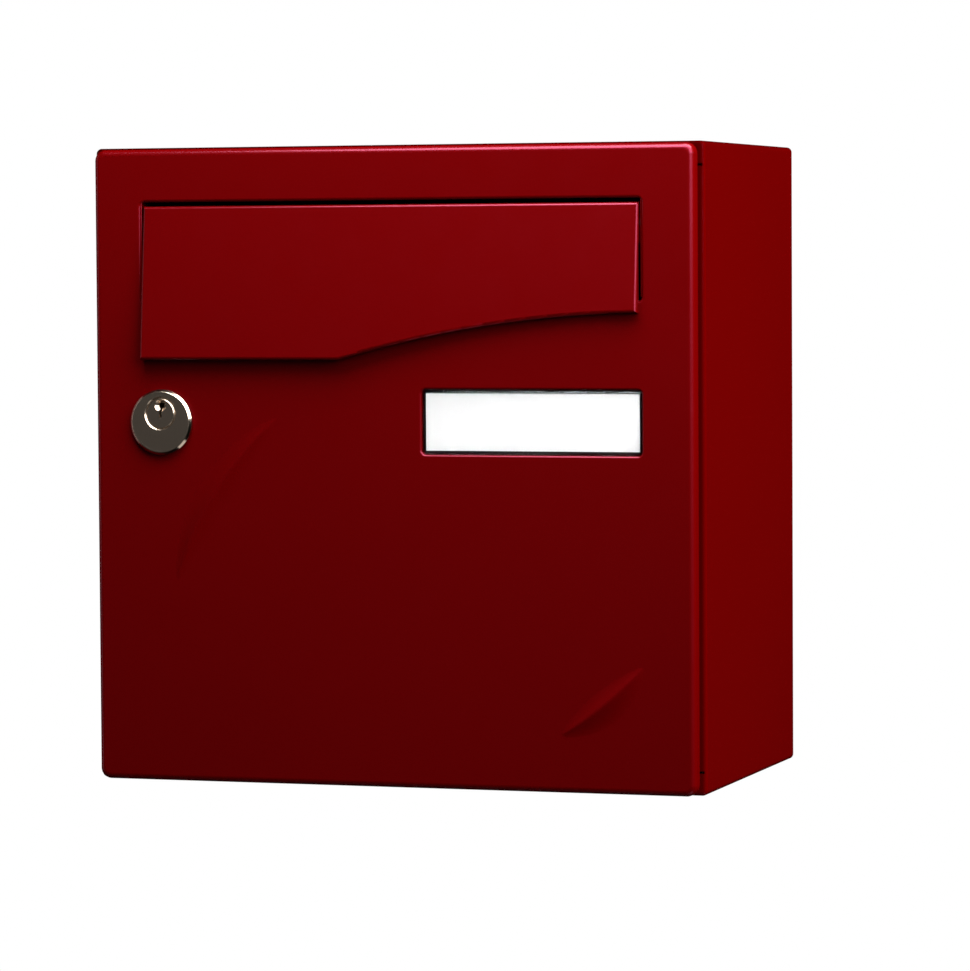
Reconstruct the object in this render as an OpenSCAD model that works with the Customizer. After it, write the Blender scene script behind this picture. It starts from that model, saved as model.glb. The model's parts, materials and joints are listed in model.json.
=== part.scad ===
// Wall letter box in folded steel sheet: casing, lift-off door, letter flap, name plate and cam lock.
// X runs to the right, Y back to the wall and Z up.
// The origin is the middle of the wall fixing, on the back face. All lengths are in millimetres.

/* [Casing] */
// Width across the two side walls
case_w = 300; // [290:1:400]
// Height from the bottom to the top
case_h = 300; // [290:1:400]
// Depth from the wall to the front face of the door
overall_d = 170; // [120:1:300]
// Thickness of the steel sheet
sheet_t = 1.0; // [0.8:0.1:1.2]
// Outside bend radius of the four long edges
case_corner_r = 2.5; // [2.2:0.1:4]
// Outside bend radius where the walls turn in at the front
case_edge_r = 2; // [1.5:0.1:2.1]
// Width of the turned-in front flange
flange_w = 10.3; // [9.5:0.1:12]
// Width of the relief slit between two front flanges
relief_w = 1.2; // [0.8:0.1:2]

/* [Back panel] */
// Distance between the wall holes, side to side
fix_x = 220; // [160:5:240]
// Distance between the wall holes, up and down
fix_z = 210; // [160:5:240]
// Diameter of a wall hole
fix_d = 7; // [5:0.5:9]
// Depth of the return that is welded to the walls
back_return = 12; // [8:1:20]
// Outside bend radius of the back panel
back_edge_r = 1.8; // [1.5:0.1:2.1]

/* [Door] */
// Depth of the door pan, front face to rear edge
door_d = 6.5; // [6:0.1:8]
// Step from the casing's side to the door's side
door_in_side = 2.7; // [1:0.1:4]
// Step from the casing's top to the door's top
door_in_top = 0.9; // [0.5:0.1:4]
// Step from the casing's bottom to the door's bottom
door_in_low = 0.4; // [0.2:0.1:4]
// Outside bend radius round the door's front
door_edge_r = 3; // [2:0.1:3.5]
// Corner radius of the door, seen from the front
door_corner_r = 5; // [4:0.5:8]

/* [Door hinge] */
// Diameter of a hinge pin
pin_d = 3; // [2.6:0.1:3.4]
// Wall of the lug round the pin
lug_wall = 1.1; // [0.9:0.1:1.3]
// Thickness of the hinge brackets and tabs
hinge_t = 1.5; // [1.2:0.1:2]
// Distance of each hinge from the casing's top or bottom
hinge_end = 25; // [23:1:40]
// Thickness of the nylon washer that carries the door
hinge_washer_t = 0.8; // [0.6:0.1:1.2]

/* [Letter slot] */
// Distance from the door's left edge to the slot
slot_in_left = 23.8; // [22:0.1:36]
// Distance from the door's right edge to the slot
slot_in_right = 25; // [24:0.1:36]
// Height of the slot in the door
slot_h = 47.1; // [42:0.1:50]
// Distance from the door's top edge to the slot
slot_down = 24.9; // [20:0.1:30]
// Depth of the slot's turned-in lips
slot_lip_d = 9; // [8.5:0.1:11]

/* [Flap] */
// Gap beside the flap
flap_gap_side = 1.2; // [1.1:0.1:2]
// Gap above the flap
flap_gap_top = 1.85; // [1.7:0.05:2.5]
// Length of the flap, top edge to lowest edge
flap_l = 72.4; // [68:0.1:76]
// Lean of the closed flap
flap_tilt = 5.2; // [4.5:0.1:6]
// Outside bend radius round the flap
flap_edge_r = 1.5; // [1.3:0.1:2]
// Radius of the long wave in the lower edge
wave_r = 539.6; // [500:1:650]
// Middle of the wave's circle, right of the door's middle
wave_x = 128.9; // [124:0.1:140]
// Start of the wave, left of the door's middle
wave_start = 23; // [15:1:35]
// Diameter of the flap rod
rod_d = 3; // [2.5:0.1:3.5]
// Distance of the rod behind the door's front face
rod_back = 5.5; // [5.3:0.1:5.8]
// Distance of the rod below the slot's upper edge
rod_down = 11.7; // [11.5:0.1:13]

/* [Name plate] */
// Width of the name plate's window
plate_w = 106.3; // [90:0.1:108]
// Height of the name plate's window
plate_h = 30.2; // [25:0.1:34]
// Distance from the door's top edge to the window
plate_down = 112.7; // [110:0.1:125]
// Depth of the window's turned-in lips
plate_lip_d = 3; // [2.5:0.1:4]
// Thickness of the clear window
window_t = 1.5; // [1:0.1:1.8]
// Thickness of the paper card
card_t = 0.3; // [0.2:0.05:0.4]
// Thickness of the backing plate's cover
backing_t = 1.5; // [1.2:0.1:2]

/* [Lock] */
// Distance from the door's left edge to the lock
lock_in = 34.1; // [30:0.1:36]
// Distance from the door's top edge to the lock
lock_down = 124.4; // [110:0.1:140]
// Diameter of the lock's round rose
rose_d = 31; // [29:0.5:36]
// Thickness of the rose
rose_t = 3; // [2.5:0.1:4]
// Width of the bevel round the rose
rose_bevel = 1.5; // [1:0.1:1.8]
// Distance of the rose's middle below the plug's middle
rose_drop = 4.1; // [2:0.1:4.2]
// Diameter of the turning plug's face
plug_d = 14.6; // [14:0.1:16]
// Diameter of the plug behind its face
plug_body_d = 13; // [12:0.5:13.5]
// Diameter of the lock's barrel
barrel_d = 20; // [19:0.5:21]
// Distance across the barrel's flats
barrel_flat = 17.6; // [17.2:0.1:18.4]
// Distance from the door's front face to the barrel's end
barrel_l = 17; // [16:0.5:20]
// Length of the cam from the lock's axis to its tip
cam_l = 30; // [27:0.5:31]
// Width of the cam's arm
cam_w = 12; // [10:0.5:14]
// Thickness of the cam
cam_t = 2; // [1.5:0.1:2.5]

/* [Hidden] */
$fn = 64;
wave_fn = 720;

// Clearances
run_gap = 0.05;
seat_gap = 0.05;
free_gap = 0.3;
past = 1;

// Casing
case_top = case_h / 2;
case_left = -case_w / 2;
door_front = -overall_d;
lug_r = pin_d / 2 + lug_wall;
hinge_in = sheet_t + lug_r + free_gap;
hinge_back = sheet_t + lug_r + free_gap + 0.2;
rear_of_pin = door_d - hinge_back;
swing_r = sqrt(hinge_in * hinge_in + rear_of_pin * rear_of_pin);
door_gap = swing_r + free_gap - rear_of_pin;
case_front = door_front + door_d + door_gap;
flange_rear = case_front + sheet_t;
open_w = case_w - 2 * flange_w;
open_h = case_h - 2 * flange_w;
back_fit = 0.1;

// Door
door_left = case_left + door_in_side;
door_right = -door_left;
door_top = case_top - door_in_top;
door_low = -case_top + door_in_low;
door_w = door_right - door_left;
door_h = door_top - door_low;
door_mid_z = (door_top + door_low) / 2;
door_rear = door_front + door_d;
door_inner = door_front + sheet_t;
slot_lip_r = 1.5;
slot_corner_r = 2;
plate_lip_r = 1.2;
plate_corner_r = 2;

// Pressed crescents: crest radius, its middle across and above the door's lower edge, direction, half angle,
// height, and the widths of the flank outside the crest and the one inside it
left_arc = [161.2, 47.8, 48.6, 146.5, 16, 1.1, 7, 7];
right_arc = [161.5, 2, 166.6, -50.9, 8.5, 1.4, 7, 5];

// Hinge
hinge_z = case_top - hinge_end;
pin_x = door_right - hinge_in;
pin_y = door_front + hinge_back;
bar_up = 1.2;
neck_l = pin_x - lug_r - 6.3;
neck_w = 3.8;
bracket_leg = 14;
tab_leg = 12;
pin_head_h = 1.2;
pin_tail = 3;
tab_low = hinge_washer_t + 0.1;

// Slot and flap
slot_top = door_top - slot_down;
slot_low = slot_top - slot_h;
slot_left = door_left + slot_in_left;
slot_right = door_right - slot_in_right;
slot_w = slot_right - slot_left;
slot_x = (slot_left + slot_right) / 2;
flap_left = slot_left + flap_gap_side;
flap_right = slot_right - flap_gap_side;
flap_w = flap_right - flap_left;
flap_top = slot_top - flap_gap_top;
flap_mid_x = (flap_left + flap_right) / 2;
flap_depth = 24;
rod_r = rod_d / 2;
rod_y = door_front + rod_back;
rod_z = slot_top - rod_down;
ear_r = rod_r + 2.3;
wave_drop = sqrt(wave_r * wave_r - (wave_x + wave_start) * (wave_x + wave_start));
bush_wall = 1;
bush_flange_r = rod_r + 2.2;
bush_flange_t = flap_gap_side - free_gap;
clip_r = rod_r + 2.5;
clip_t = 0.8;
rod_end = 3.2;

// Name plate
plate_right = slot_right;
plate_mid_x = plate_right - plate_w / 2;
plate_mid_z = door_top - plate_down - plate_h / 2;
window_fit = 0.3;
window_sink = 0.8;
window_wall = 1.2;
window_rim = 3.5;
window_rim_t = 1.2;
stud_r = 1.5;
stud_out = 6;
stud_ear_r = 4.5;
nut_r = 4;
nut_t = 0.8;
stud_over = 2;
window_front = door_front + window_sink;
rim_front = door_front + plate_lip_d + seat_gap;
rim_rear = rim_front + window_rim_t;
backing_rear = rim_rear + seat_gap + backing_t;
pocket_w = plate_w - 2 * window_fit - 2 * window_wall;
pocket_h = plate_h - 2 * window_fit - 2 * window_wall;

// Lock
lock_x = door_left + lock_in;
lock_z = door_top - lock_down;
plug_r = plug_d / 2;
barrel_r = barrel_d / 2;
hole_fit = 0.2;
barrel_end = door_front + barrel_l;
rose_side = 0.5;
plug_bevel = 0.6;
plug_sink = 0.15;
plug_front = door_front - rose_t + plug_sink;
plug_body_r = plug_body_d / 2;
plug_head_l = 2.6;
shoulder_r = plug_body_r - 2;
rear_wall = 2.8;
groove_l = 1.3;
groove_in = 0.6;
clip_plate_t = 1.2;
clip_plate_y = door_inner + seat_gap;
square_w = 1.38 * shoulder_r;
cam_front = barrel_end + 0.3;
cam_rear = cam_front + cam_t;
cam_hub_r = 9;
washer_t = 1;
washer_r = 4.5;
screw_r = 2;
screw_head_r = 3.8;
screw_head_h = 2.4;
screw_l = 10;
keeper_t = 1.5;
keeper_h = 28;
keeper_reach = 13;
keeper_rear = cam_front - 0.5;

// Buffers
buffer_r = 4;
buffer_x = door_left + 2.3;
buffer_z = 0.4 * case_h;

// Moves an outline drawn in X and Z so that it fills the depth from y0 to y1
module slab(y0, y1) {
    translate([0, y1, 0])
        rotate([90, 0, 0])
            linear_extrude(y1 - y0)
                children();
}

// Turns a profile of radius and depth round an axis that runs back along Y
module turned(x, y, z) {
    translate([x, y, z])
        rotate([-90, 0, 0])
            rotate_extrude()
                children();
}

// Rectangle with round corners, about its middle
module round_rect(w, h, r) {
    square([w - 2 * r, h], center = true);
    square([w, h - 2 * r], center = true);
    for (sx = [-1, 1], sz = [-1, 1])
        translate([sx * (w / 2 - r), sz * (h / 2 - r)])
            circle(r);
}

// Bar section as wide as w with both front corners round, from the front at 0 back to d
module nosed(w, d, r) {
    translate([-w / 2, r])
        square([w, d - r]);
    translate([-(w / 2 - r), 0])
        square([w - 2 * r, d]);
    for (s = [-1, 1])
        translate([s * (w / 2 - r), r])
            circle(r);
}

// Solid block with round corners and a round front edge, from y = 0 back to d
module block(w, h, d, corner_r, edge_r) {
    translate([0, 0, -(h / 2 - corner_r)])
        linear_extrude(h - 2 * corner_r)
            nosed(w, d, edge_r);
    translate([-(w / 2 - corner_r), 0, 0])
        rotate([90, 0, 90])
            linear_extrude(w - 2 * corner_r)
                mirror([1, -1])
                    nosed(h, d, edge_r);
    for (sx = [-1, 1], sz = [-1, 1])
        turned(sx * (w / 2 - corner_r), 0, sz * (h / 2 - corner_r))
            intersection() {
                nosed(2 * corner_r, d, edge_r);
                square([corner_r, d]);
            }
}

// Folded pan: a block hollowed out from behind to an even sheet thickness
module pan(w, h, d, corner_r, edge_r) {
    difference() {
        block(w, h, d, corner_r, edge_r);
        translate([0, sheet_t, 0])
            block(w - 2 * sheet_t, h - 2 * sheet_t, d, corner_r - sheet_t, edge_r - sheet_t);
    }
}

// Solid collar that becomes the turned-in lips of a hole, from the front face back to d
module lip_collar(w, h, d, corner_r) {
    slab(sheet_t / 2, d)
        round_rect(w + 2 * sheet_t, h + 2 * sheet_t, corner_r + sheet_t);
}

// Quarter hollow that rounds the front edge of a hole, as a section from the hole's edge outwards
module lip_section(r) {
    difference() {
        translate([-past, -past])
            square([r + past, r + past]);
        translate([r, r])
            circle(r);
        translate([-past, r])
            square([past, past]);
    }
}

// Cuts a hole with round corners and a front edge rounded to lip_r
module lip_hole(w, h, d, corner_r, lip_r) {
    slab(-past, d + past)
        round_rect(w, h, corner_r);
    for (s = [-1, 1]) {
        translate([s * w / 2, 0, -(h / 2 - corner_r)])
            linear_extrude(h - 2 * corner_r)
                mirror([(1 - s) / 2, 0])
                    lip_section(lip_r);
        translate([-(w / 2 - corner_r), 0, s * h / 2])
            rotate([90, 0, 90])
                linear_extrude(w - 2 * corner_r)
                    mirror([0, (1 - s) / 2])
                        mirror([1, -1])
                            lip_section(lip_r);
    }
    for (i = [0 : 3])
        rotate([0, 90 * i, 0])
            translate([
                (i % 2 == 0 ? w : h) / 2 - corner_r,
                0,
                (i % 2 == 0 ? h : w) / 2 - corner_r
            ])
                rotate([-90, 0, 0])
                    rotate([0, 0, -90])
                        rotate_extrude(angle = 90)
                            translate([corner_r, 0])
                                lip_section(lip_r);
}

// Shift along its direction of a circle that meets the crest at both tips and lies a width off at the middle
function foot_shift(r, wide, half) =
    (wide * wide + 2 * r * wide) / (2 * r * (1 - cos(half)) + 2 * wide);

// One flank of a crescent, as a flat cone that stands on its foot circle: a minus width is the inner flank
module crescent_flank(arc, wide, lift) {
    shift = foot_shift(arc[0], wide, arc[4]);
    foot_r = abs(arc[0] + wide - shift);
    slope = abs(wide) / arc[5];
    sink = sheet_t / 2;
    high = 1.5 * arc[5];
    translate([
        arc[1] + shift * cos(arc[3]),
        door_front + lift + sink,
        door_low + arc[2] + shift * sin(arc[3])
    ])
        rotate([90, 0, 0])
            cylinder(h = high + sink, r1 = foot_r + sink * slope, r2 = foot_r - high * slope, $fn = 360);
}

// Raised crescent: a crest between two flanks whose feet cross at its tips, where it fades out
module crescent(arc, lift) {
    intersection() {
        crescent_flank(arc, arc[6], lift);
        crescent_flank(arc, -arc[7], lift);
    }
}

module casing_wrap() {
    color("darkred")
    difference() {
        translate([0, case_front, 0])
            pan(case_w, case_h, -case_front, case_corner_r, case_edge_r);
        slab(case_front - past, flange_rear + past)
            square([open_w, open_h], center = true);
        for (sx = [-1, 1], sz = [-1, 1])
            relief_slit(sx, sz);
    }
}

// Slit through a side flange where it meets the upper or lower flange, with the flange's corner rounded
module relief_slit(sx, sz) {
    slit_l = flange_w - case_edge_r + 0.9;
    tip_r = 1.5;
    mirror([(1 - sx) / 2, 0, 0])
    mirror([0, 0, (1 - sz) / 2]) {
        translate([open_w / 2 - past, case_front - past, open_h / 2 - relief_w])
            cube([slit_l + past, case_edge_r + past, relief_w]);
        difference() {
            translate([open_w / 2 - past, case_front - past, open_h / 2 - relief_w - tip_r])
                cube([tip_r + past, sheet_t + 2 * past, tip_r + relief_w / 2]);
            translate([open_w / 2 + tip_r, case_front - 2 * past, open_h / 2 - relief_w - tip_r])
                rotate([-90, 0, 0])
                    cylinder(h = sheet_t + 4 * past, r = tip_r);
        }
    }
}

module back_panel() {
    w = case_w - 2 * sheet_t - 2 * back_fit;
    h = case_h - 2 * sheet_t - 2 * back_fit;
    color("firebrick")
    difference() {
        mirror([0, 1, 0])
            pan(w, h, back_return, case_corner_r, back_edge_r);
        for (sx = [-1, 1], sz = [-1, 1])
            translate([sx * fix_x / 2, -sheet_t - past, sz * fix_z / 2])
                rotate([-90, 0, 0])
                    cylinder(h = sheet_t + 2 * past, d = fix_d);
    }
}

// Hooked lug that reaches round the side flange into the door, bent from a leg welded behind the flange
module hinge_bracket(z) {
    leg_y = flange_rear + seat_gap;
    color("silver")
    difference() {
        union() {
            translate([0, 0, z - hinge_t])
                linear_extrude(hinge_t) {
                    translate([pin_x, pin_y])
                        circle(lug_r);
                    translate([neck_l, pin_y - lug_r])
                        square([pin_x - neck_l, lug_r + bar_up]);
                    translate([neck_l, pin_y - lug_r])
                        square([neck_w, leg_y + hinge_t - pin_y + lug_r]);
                }
            translate([neck_l, leg_y, z - bracket_leg])
                cube([case_w / 2 - sheet_t - 1 - neck_l, hinge_t, bracket_leg]);
        }
        translate([pin_x, pin_y, z - hinge_t - past])
            cylinder(h = hinge_t + 2 * past, r = pin_d / 2 + run_gap);
    }
}

module hinge_washer(z) {
    color("ivory")
    translate([pin_x, pin_y, z])
        difference() {
            cylinder(h = hinge_washer_t, r = lug_r);
            translate([0, 0, -past])
                cylinder(h = hinge_washer_t + 2 * past, r = pin_d / 2 + run_gap);
        }
}

// Angle welded inside the door: its leaf lies on the washer and holds the pin
module hinge_tab(z) {
    leaf_z = z + tab_low;
    tab_l = pin_x - neck_l - 1;
    foot_w = tab_l - lug_r - free_gap;
    color("silver")
    difference() {
        union() {
            translate([0, 0, leaf_z])
                linear_extrude(hinge_t) {
                    translate([pin_x, pin_y])
                        circle(lug_r);
                    translate([pin_x - tab_l, door_inner + seat_gap])
                        square([tab_l, pin_y - door_inner - seat_gap + lug_r / 2]);
                }
            translate([pin_x - tab_l, door_inner + seat_gap, leaf_z])
                cube([foot_w, hinge_t, tab_leg]);
        }
        translate([pin_x, pin_y, leaf_z - past])
            cylinder(h = hinge_t + 2 * past, r = pin_d / 2 + 0.01);
    }
}

module hinge_pin(z) {
    head_z = z + tab_low + hinge_t;
    tail_z = z - hinge_t - pin_tail;
    tip = 0.5;
    color("gainsboro")
    translate([pin_x, pin_y, 0]) {
        translate([0, 0, tail_z + tip])
            cylinder(h = head_z - tail_z - tip + pin_head_h / 2, d = pin_d);
        translate([0, 0, tail_z])
            cylinder(h = tip, r1 = pin_d / 2 - tip, r2 = pin_d / 2);
        translate([0, 0, head_z + 0.01])
            cylinder(h = pin_head_h, r = lug_r - 0.1);
    }
}

module hinge_bracket_top() {
    hinge_bracket(hinge_z);
}

module hinge_bracket_bottom() {
    hinge_bracket(-hinge_z);
}

module hinge_washer_top() {
    hinge_washer(hinge_z);
}

module hinge_washer_bottom() {
    hinge_washer(-hinge_z);
}

module hinge_tab_top() {
    hinge_tab(hinge_z);
}

module hinge_tab_bottom() {
    hinge_tab(-hinge_z);
}

module hinge_pin_top() {
    hinge_pin(hinge_z);
}

module hinge_pin_bottom() {
    hinge_pin(-hinge_z);
}

// Angle on the left wall whose tongue the cam turns behind
module lock_keeper() {
    wall_x = case_left + sheet_t + seat_gap;
    leg_front = case_front + case_edge_r + seat_gap;
    color("silver")
    slab_z(lock_z - keeper_h / 2, lock_z + keeper_h / 2) {
        translate([wall_x, leg_front])
            square([keeper_t, keeper_rear - leg_front]);
        translate([wall_x, keeper_rear - keeper_t])
            square([keeper_reach, keeper_t]);
    }
}

// Fills a plan outline drawn in X and Y from z0 to z1
module slab_z(z0, z1) {
    translate([0, 0, z0])
        linear_extrude(z1 - z0)
            children();
}

module door_buffers() {
    color("dimgray")
    for (s = [-1, 1])
        translate([buffer_x, door_rear + free_gap, s * buffer_z])
            rotate([-90, 0, 0])
                cylinder(h = door_gap - free_gap - 0.02, r = buffer_r);
}

module door() {
    color("darkred")
    difference() {
        union() {
            translate([0, door_front, door_mid_z])
                pan(door_w, door_h, door_d, door_corner_r, door_edge_r);
            translate([slot_x, door_front, slot_top - slot_h / 2])
                lip_collar(slot_w, slot_h, slot_lip_d, slot_corner_r);
            translate([plate_mid_x, door_front, plate_mid_z])
                lip_collar(plate_w, plate_h, plate_lip_d, plate_corner_r);
            crescent(left_arc, 0);
            crescent(right_arc, 0);
            for (s = [-1, 1])
                name_stud(s);
        }
        crescent(left_arc, sheet_t);
        crescent(right_arc, sheet_t);
        translate([slot_x, door_front, slot_top - slot_h / 2])
            lip_hole(slot_w, slot_h, slot_lip_d, slot_corner_r, slot_lip_r);
        translate([plate_mid_x, door_front, plate_mid_z])
            lip_hole(plate_w, plate_h, plate_lip_d, plate_corner_r, plate_lip_r);
        translate([slot_left - sheet_t - past, rod_y, rod_z])
            rotate([0, 90, 0])
                cylinder(h = slot_w + 2 * sheet_t + 2 * past, r = rod_r + 0.02);
        slab(door_front - past, door_inner + past)
            translate([lock_x, lock_z])
                barrel_outline(hole_fit);
    }
}

// Weld stud behind the door that holds the name plate's backing
module name_stud(s) {
    translate([plate_mid_x + s * (plate_w / 2 + stud_out), door_inner - sheet_t / 2, plate_mid_z])
        rotate([-90, 0, 0])
            cylinder(h = backing_rear + nut_t + stud_over - door_inner + sheet_t / 2, r = stud_r);
}

// Round barrel with two flats, grown by a clearance
module barrel_outline(grow) {
    intersection() {
        circle(barrel_r + grow);
        square([barrel_flat + 2 * grow, 2 * barrel_d], center = true);
    }
}

// Flap block in its own place: front face at y = 0, top edge at z = 0, inset by a sheet thickness or not
module flap_block(inset) {
    r = flap_edge_r - inset;
    w = flap_w - 2 * inset;
    h = flap_l - 2 * inset;
    intersection() {
        translate([flap_mid_x, inset, -flap_l - past])
            linear_extrude(flap_l + 2 * past)
                nosed(w, flap_depth, r);
        translate([flap_left - past, inset, -flap_l / 2])
            rotate([90, 0, 90])
                linear_extrude(flap_w + 2 * past)
                    mirror([1, -1])
                        nosed(h, flap_depth, r);
        difference() {
            translate([flap_left - past, inset - past, -flap_l - past])
                cube([flap_w + 2 * past, flap_depth + 2 * past, flap_l + 2 * past]);
            wave_cutter(wave_r + inset, inset, r);
        }
    }
}

// Round cutter for the wave in the lower edge, flared at the front to round that edge
module wave_cutter(r, front, edge_r) {
    translate([wave_x, front, -flap_l - wave_drop])
        rotate([-90, 0, 0])
            rotate([0, 0, -130])
                rotate_extrude(angle = 80, $fn = wave_fn) {
                    translate([r - flap_l, -2 * past])
                        square([flap_l, flap_depth + 4 * past]);
                    difference() {
                        translate([r - past, -2 * past])
                            square([edge_r + past, edge_r + 2 * past]);
                        translate([r + edge_r, edge_r])
                            circle(edge_r);
                    }
                }
}

// Side view of what stays of the flap's rims: in front of the door, with ears that reach back to the rod
module flap_keep() {
    rim_y = door_front - free_gap;
    ear_y = rod_y + ear_r;
    polygon([
        [rim_y - 3 * flap_depth, slot_low - flap_l],
        [rim_y, slot_low - flap_l],
        [rim_y, rod_z - 2.5 * ear_r],
        [ear_y, rod_z - ear_r / 2],
        [ear_y, rod_z + ear_r],
        [ear_y - ear_r, flap_top + past],
        [rim_y - 3 * flap_depth, flap_top + past]
    ]);
}

module flap() {
    top_return = 3;
    color("darkred")
    difference() {
        intersection() {
            translate([0, door_front, flap_top])
                rotate([-flap_tilt, 0, 0])
                    difference() {
                        flap_block(0);
                        flap_block(sheet_t);
                    }
            translate([flap_left - past, 0, 0])
                rotate([90, 0, 90])
                    linear_extrude(flap_w + 2 * past)
                        flap_keep();
        }
        translate([flap_left + sheet_t, door_front + top_return, rod_z - 5 * ear_r])
            cube([flap_w - 2 * sheet_t, flap_depth, 10 * ear_r]);
        translate([flap_left - past, rod_y, rod_z])
            rotate([0, 90, 0])
                cylinder(h = flap_w + 2 * past, r = rod_r + bush_wall + 0.02);
    }
}

// Flanged nylon bush in a flap ear, its flange outside
module flap_bush(side) {
    ear_x = side < 0 ? flap_left : flap_right;
    color("ivory")
    translate([ear_x, rod_y, rod_z])
        rotate([0, side * 90, 0])
            difference() {
                union() {
                    cylinder(h = bush_flange_t, r = bush_flange_r);
                    translate([0, 0, -sheet_t - 0.5])
                        cylinder(h = sheet_t + 0.6, r = rod_r + bush_wall);
                }
                translate([0, 0, -sheet_t - past])
                    cylinder(h = sheet_t + bush_flange_t + 2 * past, r = rod_r + run_gap);
            }
}

module flap_bush_left() {
    flap_bush(-1);
}

module flap_bush_right() {
    flap_bush(1);
}

module flap_rod() {
    tip = 0.4;
    rod_l = slot_w + 2 * sheet_t + 2 * rod_end;
    color("gainsboro")
    translate([slot_left - sheet_t - rod_end, rod_y, rod_z])
        rotate([0, 90, 0]) {
            translate([0, 0, tip])
                cylinder(h = rod_l - 2 * tip, r = rod_r);
            cylinder(h = tip, r1 = rod_r - tip, r2 = rod_r);
            translate([0, 0, rod_l - tip])
                cylinder(h = tip, r1 = rod_r, r2 = rod_r - tip);
        }
}

// Push-on clip on the rod's end, dished, with a flat brim against the lip
module rod_clip(side) {
    lip_x = side < 0 ? slot_left - sheet_t : slot_right + sheet_t;
    color("dimgray")
    translate([lip_x + side * seat_gap, rod_y, rod_z])
        rotate([0, side * 90, 0])
            rotate_extrude()
                polygon([
                    [rod_r + 0.01, clip_t],
                    [clip_r - 1.2, 0],
                    [clip_r, 0],
                    [clip_r, clip_t],
                    [clip_r - 1, clip_t],
                    [rod_r + 0.01, 2 * clip_t]
                ]);
}

module rod_clip_left() {
    rod_clip(-1);
}

module rod_clip_right() {
    rod_clip(1);
}

// Clear moulding: a tray that fills the window from behind, with a rim behind the lips
module name_window() {
    w = plate_w - 2 * window_fit;
    h = plate_h - 2 * window_fit;
    r = plate_corner_r - window_fit;
    color("white", 0.35)
    translate([plate_mid_x, 0, plate_mid_z])
        difference() {
            union() {
                translate([0, window_front, 0])
                    block(w, h, rim_rear - window_front, r, 0.5);
                slab(rim_front, rim_rear)
                    round_rect(plate_w + 2 * window_rim, plate_h + 2 * window_rim, 2);
            }
            slab(window_front + window_t, rim_rear + past)
                square([pocket_w, pocket_h], center = true);
        }
}

module name_card() {
    y = window_front + window_t + seat_gap;
    color("white")
    translate([plate_mid_x, 0, plate_mid_z])
        slab(y, y + card_t)
            square([pocket_w - 0.4, pocket_h - 0.6], center = true);
}

// Backing plate: its plug presses the card into the window and its ears sit on the studs
module name_backing() {
    plug_y = window_front + window_t + card_t + 2 * seat_gap;
    cover_y = rim_rear + seat_gap;
    color("dimgray")
    translate([plate_mid_x, 0, plate_mid_z])
        difference() {
            union() {
                slab(plug_y, cover_y + backing_t / 2)
                    square([pocket_w - 0.3, pocket_h - 0.3], center = true);
                slab(cover_y, backing_rear) {
                    round_rect(plate_w + 2 * window_rim, plate_h + 2 * window_rim, 2);
                    square([plate_w + 2 * stud_out, 2 * stud_ear_r], center = true);
                    for (s = [-1, 1])
                        translate([s * (plate_w / 2 + stud_out), 0])
                            circle(stud_ear_r);
                }
            }
            slab(plug_y - past, backing_rear + past)
                for (s = [-1, 1])
                    translate([s * (plate_w / 2 + stud_out), 0])
                        circle(stud_r + 0.1);
        }
}

// Two push nuts on the weld studs
module name_nuts() {
    y = backing_rear + seat_gap;
    color("gainsboro")
    for (s = [-1, 1])
        translate([plate_mid_x + s * (plate_w / 2 + stud_out), 0, plate_mid_z])
            slab(y, y + nut_t)
                difference() {
                    circle(nut_r);
                    circle(stud_r + 0.01);
                }
}

// Rose and barrel cast in one, with an off-centre bore for the plug
module lock_housing() {
    face_y = door_front - rose_t;
    hole_r = plug_r + run_gap;
    color("gray")
    difference() {
        union() {
            turned(lock_x, face_y, lock_z - rose_drop)
                polygon([
                    [0, 0],
                    [rose_d / 2 - rose_bevel, 0],
                    [rose_d / 2, rose_t - rose_side],
                    [rose_d / 2, rose_t - seat_gap],
                    [0, rose_t - seat_gap]
                ]);
            slab(face_y + rose_t / 2, barrel_end)
                translate([lock_x, lock_z])
                    barrel_outline(0);
        }
        turned(lock_x, face_y, lock_z)
            polygon([
                [0, -past],
                [hole_r + plug_bevel + past, -past],
                [hole_r, plug_bevel],
                [hole_r, plug_front + plug_head_l + seat_gap - face_y],
                [0, plug_front + plug_head_l + seat_gap - face_y]
            ]);
        turned(lock_x, face_y - past, lock_z)
            square([plug_body_r + run_gap, barrel_end - rear_wall - face_y + past]);
        turned(lock_x, face_y - past, lock_z)
            square([shoulder_r + run_gap, barrel_l + rose_t + 2 * past]);
        for (s = [-1, 1])
            translate([
                lock_x + s * (barrel_flat / 2 - groove_in + barrel_r / 2) - barrel_r / 2,
                door_inner,
                lock_z - barrel_r
            ])
                cube([barrel_r, groove_l, barrel_d]);
    }
}

// Spring plate pushed over the barrel from below, in the grooves behind the door
module lock_clip() {
    plate_r = 14;
    slot = barrel_flat - 2 * groove_in + 2 * seat_gap;
    color("gainsboro")
    slab(clip_plate_y, clip_plate_y + clip_plate_t)
        translate([lock_x, lock_z])
            difference() {
                union() {
                    circle(plate_r);
                    translate([-plate_r, -plate_r])
                        square([2 * plate_r, plate_r]);
                }
                intersection() {
                    circle(barrel_r + 0.1);
                    square([slot, 2 * barrel_d], center = true);
                }
                translate([-slot / 2, -plate_r - past])
                    square([slot, plate_r + past]);
            }
}

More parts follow.
